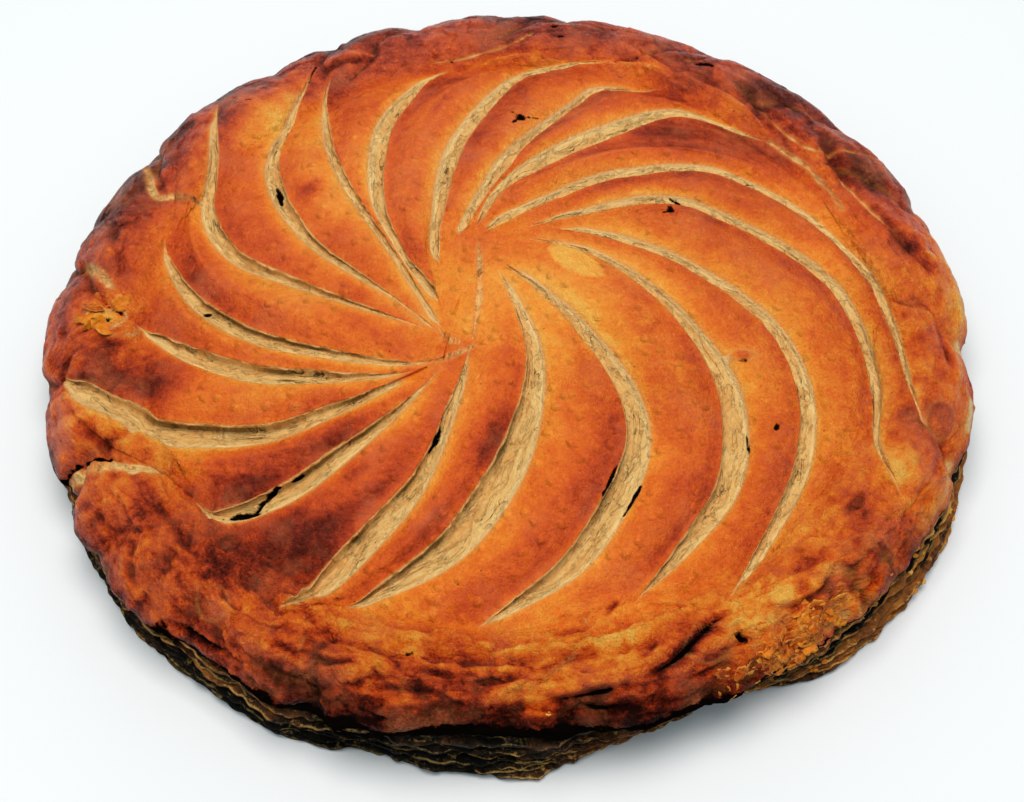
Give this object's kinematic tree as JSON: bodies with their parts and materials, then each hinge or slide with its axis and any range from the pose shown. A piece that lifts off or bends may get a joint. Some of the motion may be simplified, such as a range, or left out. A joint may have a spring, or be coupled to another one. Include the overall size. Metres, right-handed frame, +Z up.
{
  "type": "galette des rois",
  "caption": "Round puff-pastry pie with a domed crown, swirling knife cuts, a rolled thumb-notched rim and open flaky leaves down its side.",
  "frame": {"origin": "centre of the flat base's bounding box, on the surface the pie stands on", "axes": "+Z up through the crown, -Y towards the side of the rim where the open leaves show most, +X to the right when seen from there"},
  "size_m": [0.2786, 0.2752, 0.0401],
  "materials": {
    "crust": "egg-glazed puff pastry, orange to dark red-brown, semi-gloss on the ridges",
    "crumb": "bare layered pastry in the open cuts, beige, matte",
    "leaves": "thin dark leaves of pastry on the side with tan edges, matte"
  },
  "bodies": {
    "root": {"galette": "crust"}
  },
  "joints": []
}
